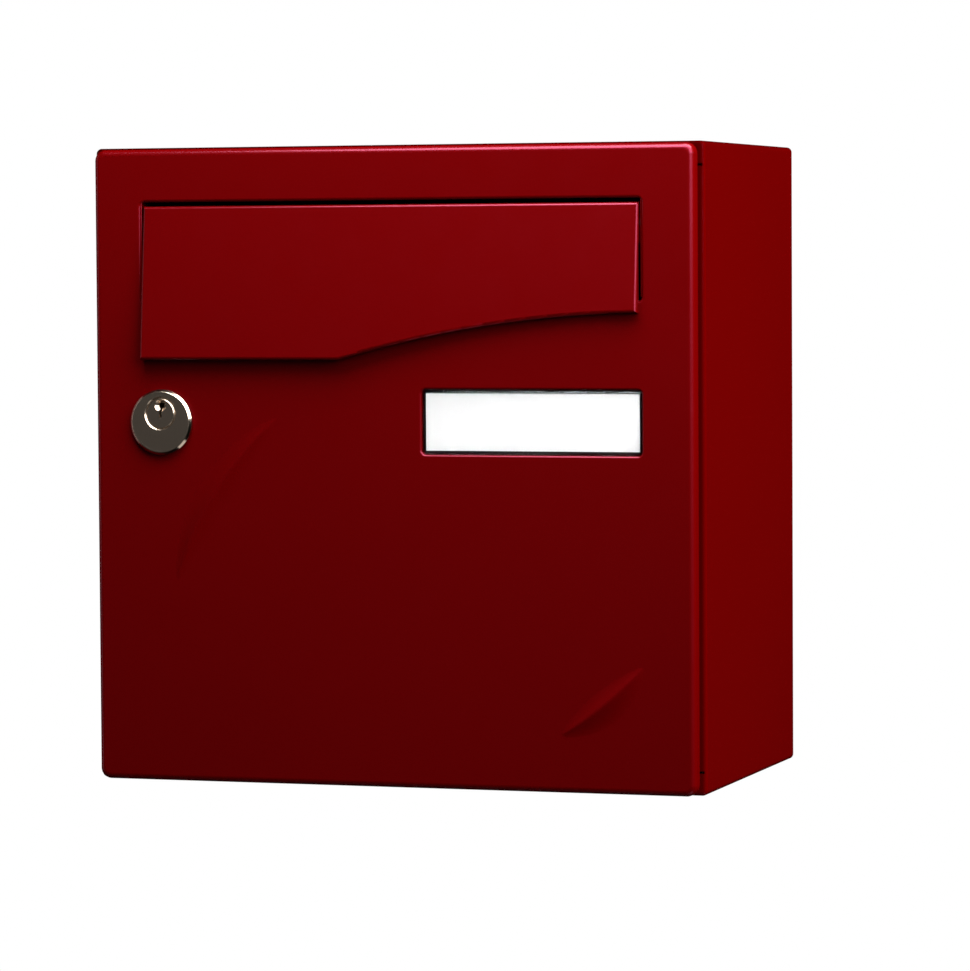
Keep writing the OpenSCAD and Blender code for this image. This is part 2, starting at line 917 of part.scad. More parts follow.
// Plug with its keyway: a round key hole with a funnel, and a narrow slit down to a short cross slit
module lock_plug() {
    color("darkgray")
    difference() {
        union() {
            turned(lock_x, plug_front, lock_z)
                polygon([
                    [0, 0],
                    [plug_r - plug_bevel, 0],
                    [plug_r, plug_bevel],
                    [plug_r, plug_head_l],
                    [plug_body_r, plug_head_l],
                    [plug_body_r, barrel_end - rear_wall - plug_front - free_gap],
                    [0, barrel_end - rear_wall - plug_front - free_gap]
                ]);
            turned(lock_x, barrel_end - rear_wall - past, lock_z)
                square([shoulder_r, rear_wall + past + cam_front - barrel_end]);
            slab(barrel_end, cam_rear - 0.2)
                translate([lock_x, lock_z])
                    square(square_w, center = true);
        }
        keyway();
        turned(lock_x, cam_rear - screw_l, lock_z)
            square([screw_r + 0.02, screw_l + past]);
    }
}

module keyway() {
    hole_up = 3.9;
    hole_r = 1.3;
    mouth_r = 2.8;
    mouth_d = 1.7;
    slit_w = 1.2;
    slit_low = -1.9;
    slit_d = 7;
    cross_w = 2;
    cross_h = 0.35;
    cross_d = 0.4;
    slab(plug_front - past, plug_front + slit_d)
        translate([lock_x, lock_z]) {
            translate([-slit_w / 2, slit_low])
                square([slit_w, hole_up - slit_low]);
            translate([0, hole_up])
                circle(hole_r);
        }
    turned(lock_x, plug_front, lock_z + hole_up)
        polygon([
            [0, -past],
            [mouth_r, -past],
            [mouth_r, 0],
            [hole_r, mouth_d],
            [0, mouth_d]
        ]);
    slab(plug_front - past, plug_front + cross_d)
        translate([lock_x - cross_w / 2, lock_z + slit_low - cross_h])
            square([cross_w, cross_h]);
}

// Flat cam, at rest pointing down and clear of its keeper
module lock_cam() {
    tip_r = cam_w / 2;
    color("silver")
    slab(cam_front, cam_rear)
        translate([lock_x, lock_z])
            difference() {
                union() {
                    circle(cam_hub_r);
                    translate([-tip_r, -cam_l + tip_r])
                        square([cam_w, cam_l - tip_r]);
                    translate([0, -cam_l + tip_r])
                        circle(tip_r);
                }
                square(square_w + 2 * seat_gap, center = true);
            }
}

module cam_washer() {
    color("gainsboro")
    slab(cam_rear + seat_gap, cam_rear + seat_gap + washer_t)
        translate([lock_x, lock_z])
            difference() {
                circle(washer_r);
                circle(screw_r + 0.2);
            }
}

module cam_screw() {
    head_y = cam_rear + 2 * seat_gap + washer_t;
    color("gainsboro")
    difference() {
        union() {
            turned(lock_x, head_y, lock_z)
                polygon([
                    [0, 0],
                    [screw_head_r, 0],
                    [screw_head_r, screw_head_h - 0.8],
                    [screw_head_r - 0.8, screw_head_h],
                    [0, screw_head_h]
                ]);
            turned(lock_x, cam_rear - screw_l + 1, lock_z)
                square([screw_r, head_y + past - cam_rear + screw_l - 1]);
        }
        for (a = [0, 90])
            translate([lock_x, head_y + screw_head_h, lock_z])
                rotate([0, a, 0])
                    cube([0.9, 2.4, 4], center = true);
    }
}

casing_wrap();
back_panel();
hinge_bracket_top();
hinge_bracket_bottom();
hinge_washer_top();
hinge_washer_bottom();
lock_keeper();
door_buffers();
door();
hinge_tab_top();
hinge_tab_bottom();
hinge_pin_top();
hinge_pin_bottom();
flap_rod();
rod_clip_left();
rod_clip_right();
name_window();
name_card();
name_backing();
name_nuts();
lock_housing();
lock_clip();
flap();
flap_bush_left();
flap_bush_right();
lock_plug();
lock_cam();
cam_washer();
cam_screw();
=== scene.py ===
# %% [markdown]
# # A red wall letter box, dressed for its photograph
# The box comes from CAD as exact folded sheet, with its door, flap and lock already placed. Here it gets
# its paint, plastic and metal, the small forms that only a press, a mould or a polisher leaves, a studio,
# and a camera where the photographer stood.

# %% [markdown]
# ## The frame
# The box is read in at once and each part is set into world space; a small tool measures a part's box when a
# later cell needs it.

# %%
# Open the frame and measure it
import json
import math
import bmesh
import bpy
import numpy as np
from mathutils import Matrix, Vector


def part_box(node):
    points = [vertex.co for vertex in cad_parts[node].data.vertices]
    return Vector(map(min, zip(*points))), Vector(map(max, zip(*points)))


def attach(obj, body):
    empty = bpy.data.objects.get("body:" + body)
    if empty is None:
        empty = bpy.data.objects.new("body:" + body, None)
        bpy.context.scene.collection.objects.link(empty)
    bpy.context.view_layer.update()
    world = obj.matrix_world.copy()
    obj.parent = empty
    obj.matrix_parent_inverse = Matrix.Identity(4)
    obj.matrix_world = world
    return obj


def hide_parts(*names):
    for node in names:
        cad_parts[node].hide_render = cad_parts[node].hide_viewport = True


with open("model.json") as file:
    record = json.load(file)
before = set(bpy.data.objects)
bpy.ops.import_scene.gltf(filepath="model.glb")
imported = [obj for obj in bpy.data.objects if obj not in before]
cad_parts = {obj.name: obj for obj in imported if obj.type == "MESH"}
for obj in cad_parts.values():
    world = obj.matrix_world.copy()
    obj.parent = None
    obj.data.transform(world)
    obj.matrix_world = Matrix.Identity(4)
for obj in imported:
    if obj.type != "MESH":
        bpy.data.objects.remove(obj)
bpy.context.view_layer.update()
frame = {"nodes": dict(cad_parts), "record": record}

# %% [markdown]
# ## Where the photographer stood
# A camera can be set by eye, but the box's straight edges say where it was: the vertical edges give its
# nod and lean, and the vanishing lines of the top and bottom give its turn and its lens. It stands about
# two metres away, turned 18 degrees from the door's axis and looking 3 degrees down. The matrix is built
# from those three angles, row by row, because that is how the fit states them.

# %%
# Place the camera
YAW, PITCH, ROLL = (math.radians(a) for a in (18.091, 2.933, -0.356))
CAMERA_PLACE = (0.6975, -2.1618, 0.0995)
FOCAL_PX = 4541.73
LONG_SIDE_PX = 971
SENSOR_MM = 36
to_image = Matrix(((1, 0, 0), (0, 0, -1), (0, 1, 0)))
turn = Matrix(((math.cos(YAW), 0, math.sin(YAW)), (0, 1, 0), (-math.sin(YAW), 0, math.cos(YAW))))
nod = Matrix(((1, 0, 0), (0, math.cos(PITCH), -math.sin(PITCH)), (0, math.sin(PITCH), math.cos(PITCH))))
lean = Matrix(((math.cos(ROLL), -math.sin(ROLL), 0), (math.sin(ROLL), math.cos(ROLL), 0), (0, 0, 1)))
rows = lean @ nod @ turn @ to_image

camera = bpy.data.objects.new("camera", bpy.data.cameras.new("camera"))
bpy.context.collection.objects.link(camera)
camera.matrix_world = Matrix.Translation(CAMERA_PLACE) @ Matrix(
    (rows[0], -rows[1], -rows[2])).transposed().to_4x4()
camera.data.sensor_width = SENSOR_MM
camera.data.lens = FOCAL_PX * SENSOR_MM / LONG_SIDE_PX
camera.data.clip_start, camera.data.clip_end = 0.05, 50
bpy.context.scene.camera = camera
print("Lens:", round(camera.data.lens, 1), "mm")

# %% [markdown]
# ## The floor
# The photo is a cut-out, so the box hangs in plain white and no floor shows. A pale disc still lies well
# below it and sends soft light up. A glossy underside would mirror the disc as a grey line, so
# reflections leave it out.

# %%
# Lay the floor


def new_mesh(name, verts, faces, smooth=False):
    """Makes an object at the world's origin from points and faces."""
    mesh = bpy.data.meshes.new(name)
    mesh.from_pydata([tuple(v) for v in verts], [], [tuple(f) for f in faces])
    mesh.update()
    mesh.polygons.foreach_set("use_smooth", [smooth] * len(mesh.polygons))
    obj = bpy.data.objects.new(name, mesh)
    bpy.context.collection.objects.link(obj)
    return obj


FLOOR_Z = -1.9
FLOOR_R = 1.2
FLOOR_SIDES = 96
rim = [(FLOOR_R * math.cos(a), FLOOR_R * math.sin(a), FLOOR_Z)
       for a in np.linspace(0, 2 * math.pi, FLOOR_SIDES, endpoint=False)]
floor = new_mesh("studio_floor", rim, [range(len(rim))])
floor.visible_glossy = False

# %% [markdown]
# ## Soft boxes
# Gloss paint shows its lights more than its colour. Each bright line in the photo was traced back to a
# box: the one above makes the lines on the top edges, the one at the right those on the right edges and
# the crescent on the lock. The one in front is very large and dim, and only lifts the flat faces. The
# last two are seen in the rose.

# %%
# Hang the soft boxes


def softbox(name, place, aim, width, height, power):
    """Adds a rectangular area light that looks from its place at a point."""
    light = bpy.data.lights.new(name, "AREA")
    light.shape = "RECTANGLE"
    light.size, light.size_y = width, height
    light.energy = power
    obj = bpy.data.objects.new(name, light)
    bpy.context.collection.objects.link(obj)
    obj.location = place
    obj.rotation_euler = (Vector(aim) - Vector(place)).to_track_quat("-Z", "Y").to_euler()
    return obj


LOCK = (-0.11, -0.17, 0.02)
RIGHT_BOX = ((0.95, -0.85, 0.57), (0.1, -0.15, 0.3), 0.95, 0.75)
over = softbox("light_over", (0.16, -0.34, 0.54), (0.08, -0.2, 0.05), 0.8, 0.36, 25)
right = softbox("light_right", *RIGHT_BOX, 36)
softbox("light_front", (-0.75, -2.4, 0.05), (0, -0.17, 0), 1.6, 1.2, 0.28)
softbox("light_left", (-1.5, -0.6, 0.1), LOCK, 0.42, 1.6, 2.5)
softbox("light_low", (0.85, -0.57, -1.68), LOCK, 1.0, 0.8, 2.2)

# %% [markdown]
# ## Fills for the casing
# The flat top of the casing would mirror the two strong boxes as one white patch in views from behind.
# Weaker boxes would lose the lines on the door, so light linking lets them leave the casing out. Fills
# light it instead: they cast light but show in no reflection.

# %%
# Light the casing softly
BOX_MIDDLE = (0, 0, 0)
side_fill = softbox("fill_side", (1.1, 0.0, 0.6), (0.15, -0.1, 0.05), 0.5, 0.6, 50)
right_fill = softbox("fill_right", *RIGHT_BOX, 44)
back_fill = softbox("fill_back", (-0.6, 1.3, 0.5), BOX_MIDDLE, 0.9, 0.9, 75)
left_fill = softbox("fill_left", (-1.4, 0.3, 0.2), BOX_MIDDLE, 0.9, 0.9, 40)
for fill in (side_fill, right_fill, back_fill, left_fill):
    fill.visible_glossy = False
groups = {"without_casing": ((over, right), "EXCLUDE"), "casing_alone": ((right_fill,), "INCLUDE")}
for name, (lights, state) in groups.items():
    group = bpy.data.collections.new(name)
    group.objects.link(frame["nodes"]["casing_wrap"])
    group.collection_objects[0].light_linking.link_state = state
    for light in lights:
        light.light_linking.receiver_collection = group
print("Light groups:", sorted(groups))

# %% [markdown]
# ## The room
# A white world would wash out the paint, and a black one would show behind the box. A Light Path node
# gives each what it needs: the camera sees white, and every other ray sees a nearly dark room.

# %%
# Paint the room
ROOM_LIGHT = 0.003
world = bpy.data.worlds.new("room")
bpy.context.scene.world = world
world.use_nodes = True
room = world.node_tree
dim = room.nodes["Background"]
white = room.nodes.new("ShaderNodeBackground")
for background, strength in ((dim, ROOM_LIGHT), (white, 1.0)):
    background.inputs["Color"].default_value = (1, 1, 1, 1)
    background.inputs["Strength"].default_value = strength
seen = room.nodes.new("ShaderNodeLightPath")
choice = room.nodes.new("ShaderNodeMixShader")
room.links.new(seen.outputs["Is Camera Ray"], choice.inputs[0])
room.links.new(dim.outputs["Background"], choice.inputs[1])
room.links.new(white.outputs["Background"], choice.inputs[2])
room.links.new(choice.outputs["Shader"], room.nodes["World Output"].inputs["Surface"])
bpy.context.scene.view_settings.view_transform = "Standard"
print("Room light:", ROOM_LIGHT)

# %% [markdown]
# ## Tools for the finishes
# Each finish is a Principled shader. What varies over the surface, such as tint, roughness and relief, is
# driven by noise in object space, so it stays put when the door opens. What is the same everywhere is a
# constant on the shader's own socket.

# %%
# Write shader trees


def tree_of(name):
    """Starts a material and returns it with its tree and its Principled shader."""
    mat = bpy.data.materials.new(name)
    mat.use_nodes = True
    return mat, mat.node_tree, mat.node_tree.nodes["Principled BSDF"]


def add(tree, kind, **settings):
    """Adds a node. A setting that names an input is its value, and any other is a property."""
    node = tree.nodes.new(kind)
    for key, value in settings.items():
        if key in node.inputs.keys():
            node.inputs[key].default_value = value
        else:
            setattr(node, key, value)
    return node


def constants(shader, **values):
    """Sets constants on the shader's own sockets."""
    for key, value in values.items():
        shader.inputs[key.replace("_", " ")].default_value = value


# %%
# Vary a finish over its surface


def noise(tree, scale, detail=3.0, rough=0.5, stretch=(1, 1, 1)):
    """Noise in object space, as a socket from 0 to 1."""
    coord = add(tree, "ShaderNodeTexCoord")
    mapping = add(tree, "ShaderNodeMapping")
    mapping.inputs["Scale"].default_value = stretch
    tree.links.new(coord.outputs["Object"], mapping.inputs["Vector"])
    tex = add(tree, "ShaderNodeTexNoise", Scale=scale, Detail=detail, Roughness=rough)
    tree.links.new(mapping.outputs["Vector"], tex.inputs["Vector"])
    return tex.outputs["Fac"]


def spread(tree, socket, low, high, start=0.3, end=0.7):
    """Maps a socket's stretch from start to end onto a range of values."""
    node = add(tree, "ShaderNodeMapRange")
    for key, value in (("From Min", start), ("From Max", end), ("To Min", low), ("To Max", high)):
        node.inputs[key].default_value = value
    tree.links.new(socket, node.inputs["Value"])
    return node.outputs["Result"]


def blend(tree, socket, first, second):
    """Mixes two colours by a socket."""
    node = add(tree, "ShaderNodeMix", data_type="RGBA")
    node.inputs["A"].default_value = (*first, 1)
    node.inputs["B"].default_value = (*second, 1)
    tree.links.new(socket, node.inputs["Factor"])
    return node.outputs["Result"]


def bump(tree, shader, socket, height):
    """Turns a socket into a relief of that height in metres."""
    node = add(tree, "ShaderNodeBump", Distance=height)
    tree.links.new(socket, node.inputs["Height"])
    tree.links.new(node.outputs["Normal"], shader.inputs["Normal"])


LOOKS = {}

# %% [markdown]
# ## Red powder coat
# The sheet is sprayed with powder and baked, which leaves a deep even red, a satin gloss and a trace of
# orange peel. A plain red with white gloss looked chalky beside the photo. Powder is coloured through, so
# the gloss is tinted too, and the red itself has no green or blue in it.

# %%
# Bake the paint


def powder_coat():
    """A pure deep red with a tinted gloss and a faint orange peel."""
    mat, tree, shader = tree_of("red_paint")
    tint = blend(tree, noise(tree, 9, 2), (0.0435, 0.0, 0.0), (0.046, 0.0, 0.0))
    tree.links.new(tint, shader.inputs["Base Color"])
    tree.links.new(spread(tree, noise(tree, 60, 2), 0.24, 0.26), shader.inputs["Roughness"])
    bump(tree, shader, noise(tree, 420, 2), 0.000004)
    constants(shader, IOR=1.5, Specular_IOR_Level=0.4, Specular_Tint=(1.0, 0.18, 0.36, 1.0))
    return mat


LOOKS["red_paint"] = powder_coat()
print("Made:", sorted(LOOKS))

# %% [markdown]
# ## Bare metals
# The cam, the keeper and the hinge angles are zinc plated, the rod and the pins are bright drawn bar, and
# the clips are phosphated spring steel. One function makes all three, because they differ only in tone,
# in gloss and in grain. Drawn bar has long scratches, so its noise is stretched along X, the length of
# the rod.

# %%
# Plate and draw the metals


def bare_metal(name, dark, bright, rough, grain=(1, 1, 1)):
    """Bare metal with cloudy tone and a fine grain that may be stretched along an axis."""
    mat, tree, shader = tree_of(name)
    tree.links.new(blend(tree, noise(tree, 25), dark, bright), shader.inputs["Base Color"])
    scratches = noise(tree, 300, 2, stretch=grain)
    tree.links.new(spread(tree, scratches, rough - 0.06, rough + 0.06), shader.inputs["Roughness"])
    bump(tree, shader, scratches, 0.00001)
    constants(shader, Metallic=1.0)
    return mat


ALONG_X = (0.05, 1, 1)
LOOKS["zinc_plate"] = bare_metal("zinc_plate", (0.42, 0.43, 0.45), (0.55, 0.56, 0.58), 0.38)
LOOKS["bright_steel"] = bare_metal(
    "bright_steel", (0.55, 0.55, 0.56), (0.66, 0.66, 0.67), 0.22, grain=ALONG_X)
LOOKS["spring_steel"] = bare_metal("spring_steel", (0.22, 0.22, 0.24), (0.32, 0.32, 0.34), 0.34)
print("Made so far:", sorted(LOOKS))

# %% [markdown]
# ## Nickel on the lock
# The rose has a satin face and a polished bevel on one casting. Two materials would leave a seam, so one
# material measures how far a point is from the rose's middle, and turns from satin to polished where the
# bevel starts. The rose is the widest and lowest part of the lock's casting, so the casting's box tells
# its radius and its middle.

# %%
# Plate the lock
lock_low, lock_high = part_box("lock_housing")
ROSE_R = (lock_high[0] - lock_low[0]) / 2
ROSE = ((lock_low[0] + lock_high[0]) / 2, lock_low[2] + ROSE_R)
BEVEL_W = 0.00115
ROSE_FACE_R = ROSE_R - BEVEL_W
POLISH_EDGE = 0.0002


def lock_nickel():
    """Nickel: satin on the flat face of the rose, polished on the bevel round it."""
    mat, tree, shader = tree_of("lock_nickel")
    tone = blend(tree, noise(tree, 60), (0.52, 0.42, 0.33), (0.57, 0.46, 0.36))
    tree.links.new(tone, shader.inputs["Base Color"])
    coord = add(tree, "ShaderNodeTexCoord")
    flat = add(tree, "ShaderNodeVectorMath", operation="MULTIPLY")
    flat.inputs[1].default_value = (1, 0, 1)
    far = add(tree, "ShaderNodeVectorMath", operation="DISTANCE")
    far.inputs[1].default_value = (ROSE[0], 0, ROSE[1])
    tree.links.new(coord.outputs["Object"], flat.inputs[0])
    tree.links.new(flat.outputs["Vector"], far.inputs[0])
    polish = spread(tree, far.outputs["Value"], 0.26, 0.12, ROSE_FACE_R, ROSE_FACE_R + POLISH_EDGE)
    tree.links.new(polish, shader.inputs["Roughness"])
    bump(tree, shader, noise(tree, 900, 2), 0.000002)
    constants(shader, Metallic=1.0)
    return mat


LOOKS["lock_nickel"] = lock_nickel()
print("Rose at", [round(v, 5) for v in ROSE], "radius", round(ROSE_R, 5), "satin to", round(ROSE_FACE_R, 5))

# %% [markdown]
# ## Plastics, rubber and card
# The bushes and washers are black nylon, the buffers rubber, the backing plate a dark moulding and the
# name card bright white. All are plain fine-grained surfaces, so they share a function. The clear
# moulding is the same function with full transmission and a slow, gentle relief, because moulded sheet
# is never optically flat.

# %%
# Mould the plastics


def moulded(name, dark, bright, rough, grain=500, relief=0.00001, **extra):
    """Moulded plastic, rubber or card, with a fine grain."""
    mat, tree, shader = tree_of(name)
    tree.links.new(blend(tree, noise(tree, 40), dark, bright), shader.inputs["Base Color"])
    tree.links.new(spread(tree, noise(tree, 200), rough - 0.02, rough + 0.02), shader.inputs["Roughness"])
    bump(tree, shader, noise(tree, grain, 2), relief)
    constants(shader, **extra)
    return mat


LOOKS["nylon"] = moulded("nylon", (0.004, 0.004, 0.004), (0.007, 0.007, 0.007), 0.7, Specular_IOR_Level=0.05)
LOOKS["buffer_rubber"] = moulded("buffer_rubber", (0.012, 0.012, 0.013), (0.025, 0.025, 0.027), 0.65)
LOOKS["white_card"] = moulded("white_card", (0.95, 0.95, 0.95), (0.98, 0.98, 0.98), 0.7)
LOOKS["dark_plastic"] = moulded(
    "dark_plastic", (0.003, 0.003, 0.003), (0.006, 0.006, 0.006), 0.5, Specular_IOR_Level=0.15)
LOOKS["clear_plastic"] = moulded(
    "clear_plastic", (0.97, 0.97, 0.97), (1, 1, 1), 0.03, grain=70, relief=0.00003,
    Transmission_Weight=1.0, IOR=1.49)
print("Finishes:", sorted(LOOKS))

# %% [markdown]
# ## Dressing the parts
# The record already says which finish each part has, so no second list is kept here. A part's mesh is
# left as it is, and only its material changes. The floor gets a matt white of its own.

# %%
# Give every part and the floor its finish


def wear(obj, look):
    """Gives an object one material."""
    obj.data.materials.clear()
    obj.data.materials.append(look)


for part in frame["record"]["subparts"]:
    wear(frame["nodes"][part["node"]], LOOKS[part["material_slot"]])


def studio_white():
    """Matt white with a trace of cloud."""
    mat, tree, shader = tree_of("studio_white")
    cloud = blend(tree, noise(tree, 3), (0.90, 0.90, 0.90), (0.93, 0.93, 0.93))
    tree.links.new(cloud, shader.inputs["Base Color"])
    constants(shader, Roughness=0.9)
    return mat


wear(floor, studio_white())

# %% [markdown]
# ## Tools for forms that follow a rule
# Pressed and repeated forms are made by Geometry Nodes: a tree with named sizes works out the points. It
# could stay live as a modifier, but its result is baked to a plain mesh, which holds just what
# was drawn.

# %%
# Start, work out and end a tree


def form_tree(name, inputs):
    """Starts a Geometry Nodes tree with named sizes and returns it with its sizes and its output node."""
    tree = bpy.data.node_groups.new(name, "GeometryNodeTree")
    for label, kind in inputs.items():
        tree.interface.new_socket(label, in_out="INPUT", socket_type=kind)
    tree.interface.new_socket("Geometry", in_out="OUTPUT", socket_type="NodeSocketGeometry")
    return tree, tree.nodes.new("NodeGroupInput").outputs, tree.nodes.new("NodeGroupOutput")


def calc(tree, operation, *terms):
    """A math node on numbers or sockets."""
    node = add(tree, "ShaderNodeMath", operation=operation)
    for socket, term in zip(node.inputs, terms):
        if isinstance(term, bpy.types.NodeSocket):
            tree.links.new(term, socket)
        else:
            socket.default_value = term
    return node.outputs["Value"]


def finish_tree(tree, geometry, output, look):
    """Ends a tree: real faces, smooth shading and their material."""
    real = add(tree, "GeometryNodeRealizeInstances")
    smooth = add(tree, "GeometryNodeSetShadeSmooth")
    dress = add(tree, "GeometryNodeSetMaterial", Material=look)
    for node in (real, smooth, dress):
        tree.links.new(geometry, node.inputs["Geometry"])
        geometry = node.outputs["Geometry"]
    tree.links.new(geometry, output.inputs["Geometry"])


# %%
# Shape a sheet of points


def sheet_of(tree, size, along, across):
    """A flat square grid, as its mesh and the X and Y of each point."""
    sheet = add(tree, "GeometryNodeMeshGrid")
    for label, value in (("Size X", size), ("Size Y", size), ("Vertices X", along), ("Vertices Y", across)):
        sheet.inputs[label].default_value = value
    here = add(tree, "ShaderNodeSeparateXYZ")
    tree.links.new(add(tree, "GeometryNodeInputPosition").outputs["Position"], here.inputs["Vector"])
    return sheet.outputs["Mesh"], here.outputs["X"], here.outputs["Y"]


def point_at(tree, x, y, z):
    """Three sockets as one vector."""
    place = add(tree, "ShaderNodeCombineXYZ")
    for socket, term in zip(place.inputs, (x, y, z)):
        tree.links.new(term, socket)
    return place.outputs["Vector"]


def move_to(tree, geometry, x, y, z):
    """Puts each point of a geometry at three computed coordinates."""
    node = add(tree, "GeometryNodeSetPosition")
    tree.links.new(geometry, node.inputs["Geometry"])
    tree.links.new(point_at(tree, x, y, z), node.inputs["Position"])
    return node.outputs["Geometry"]


# %%
# Run a tree and bake the result


def grow(name, tree, sizes):
    """Runs a tree with its sizes set and bakes what it makes into one plain mesh."""
    obj = new_mesh(name, [], [])
    modifier = obj.modifiers.new("form", "NODES")
    modifier.node_group = tree
    for item in tree.interface.items_tree:
        if item.in_out == "INPUT":
            modifier[item.identifier] = sizes[item.name]
    baked = bpy.data.meshes.new_from_object(obj.evaluated_get(bpy.context.evaluated_depsgraph_get()))
    obj.modifiers.clear()
    obj.data = baked
    baked.name = name
    return obj


# %% [markdown]
# ## The pressed crescents
# Two shallow ridges are pressed into the door: a long one left of the name plate and a short one at the
# lower right, each highest in its middle and gone at its ends. The solid door has them with a plain ridge
# line. A real press leaves a rounded crest and long soft feet, so a skin with such a section lies just
# over each ridge. Sculpting would do it once, but a rule does it for both: a square grid is bent along an
# arc, and its height is the square of the distance from the foot, rounded at the crest and faded towards
# the ends.

# %%
# Write the crescent's rule
FLOAT = "NodeSocketFloat"
CREST_ROUND = 0.1
END_WIDTH = 0.2
FOOT_SINK = 0.00003
crescent_tree, size, end = form_tree("pressed_crescent", {
    "Crest radius": FLOAT, "Middle X": FLOAT, "Middle Z": FLOAT, "Direction": FLOAT, "Half angle": FLOAT,
    "Height": FLOAT, "Outer width": FLOAT, "Inner width": FLOAT, "Door face": FLOAT})
sheet, along, across = sheet_of(crescent_tree, size=2, along=121, across=33)
fade = calc(crescent_tree, "SUBTRACT", 1.0, calc(crescent_tree, "MULTIPLY", along, along))
outside = calc(crescent_tree, "GREATER_THAN", across, 0.0)
spare = calc(crescent_tree, "SUBTRACT", size["Outer width"], size["Inner width"])
flank = calc(crescent_tree, "MULTIPLY_ADD", outside, spare, size["Inner width"])
narrowing = calc(crescent_tree, "MULTIPLY_ADD", fade, 1 - END_WIDTH, END_WIDTH)
narrowed = calc(crescent_tree, "MULTIPLY", flank, narrowing)
radius = calc(crescent_tree, "MULTIPLY_ADD", across, narrowed, size["Crest radius"])
angle = calc(crescent_tree, "MULTIPLY_ADD", along, size["Half angle"], size["Direction"])
soft = calc(crescent_tree, "SQRT", calc(crescent_tree, "MULTIPLY_ADD", across, across, CREST_ROUND ** 2))
rise = calc(crescent_tree, "SUBTRACT", 1.0, calc(crescent_tree, "MINIMUM", soft, 1.0))
crown = calc(crescent_tree, "MULTIPLY", fade, calc(crescent_tree, "MULTIPLY", rise, rise))
proud = calc(crescent_tree, "MULTIPLY_ADD", crown, size["Height"], -FOOT_SINK)
skin = move_to(
    crescent_tree, sheet,
    calc(crescent_tree, "MULTIPLY_ADD", radius, calc(crescent_tree, "COSINE", angle), size["Middle X"]),
    calc(crescent_tree, "SUBTRACT", size["Door face"], proud),
    calc(crescent_tree, "MULTIPLY_ADD", radius, calc(crescent_tree, "SINE", angle), size["Middle Z"]))
flip = add(crescent_tree, "GeometryNodeFlipFaces")
crescent_tree.links.new(skin, flip.inputs["Mesh"])
finish_tree(crescent_tree, flip.outputs["Mesh"], end, LOOKS["red_paint"])
print("Crescent sizes:", [item.name for item in crescent_tree.interface.items_tree if item.in_out == "INPUT"])

# %%
# Press the crescents
FLAP_PROUD = 0.00643
DOOR_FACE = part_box("flap")[0][1] + FLAP_PROUD
DOOR_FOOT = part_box("door")[0][2]
CRESCENTS = {
    "door_crescent_left": {
        "Crest radius": 0.1612, "Middle X": 0.0478, "Middle Z": DOOR_FOOT + 0.0486,
        "Direction": math.radians(146.5), "Half angle": math.radians(16.6),
        "Height": 0.00175, "Outer width": 0.0098, "Inner width": 0.0098},
    "door_crescent_right": {
        "Crest radius": 0.1615, "Middle X": 0.0020, "Middle Z": DOOR_FOOT + 0.1666,
        "Direction": math.radians(-50.9), "Half angle": math.radians(9.0),
        "Height": 0.0021, "Outer width": 0.0105, "Inner width": 0.0076},
}
for name, sizes in CRESCENTS.items():
    crescent = grow(name, crescent_tree, {**sizes, "Door face": DOOR_FACE})
    wear(crescent, LOOKS["red_paint"])
    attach(crescent, "door")
    crest = DOOR_FACE - min(v.co.y for v in crescent.data.vertices)
    print(name, len(crescent.data.polygons), "faces,", round(crest * 1000, 2), "mm high")

# %% [markdown]
# ## Spot welds
# The back panel's turned edges are joined to the folded casing by spot welds. Each electrode leaves a
# small round dent with a raised edge. Twenty-eight marks modelled by hand would never be even, so one
# mark is shaped from a grid that closes on itself, set along a line, and the line is turned four times
# round the box.

# %%
# Shape one weld mark
weld_tree, size, end = form_tree("spot_weld_rows", {
    "Row length": FLOAT, "Wall": FLOAT, "Row y": FLOAT, "Mark radius": FLOAT, "Rim height": FLOAT,
    "Marks in a row": "NodeSocketInt"})
RIM_AT = 0.8
DISH = 0.35
DISH_AT = 0.5
SAME_POINT = 0.00002
sheet, around, outwards = sheet_of(weld_tree, size=1, along=17, across=11)
turned = calc(weld_tree, "MULTIPLY", around, 2 * math.pi)
out = calc(weld_tree, "SUBTRACT", 0.5, outwards)
outer_slope = spread(weld_tree, out, 0.0, 1.0, 1.0, RIM_AT)
inner_slope = spread(weld_tree, out, DISH, 1.0, DISH_AT, RIM_AT)
lift = calc(weld_tree, "MULTIPLY", calc(weld_tree, "MULTIPLY", outer_slope, inner_slope), size["Rim height"])
reach = calc(weld_tree, "MULTIPLY", out, size["Mark radius"])
mark = move_to(
    weld_tree, sheet,
    calc(weld_tree, "MULTIPLY", reach, calc(weld_tree, "COSINE", turned)),
    calc(weld_tree, "MULTIPLY", reach, calc(weld_tree, "SINE", turned)), lift)
closed = add(weld_tree, "GeometryNodeMergeByDistance", Distance=SAME_POINT)
weld_tree.links.new(mark, closed.inputs["Geometry"])

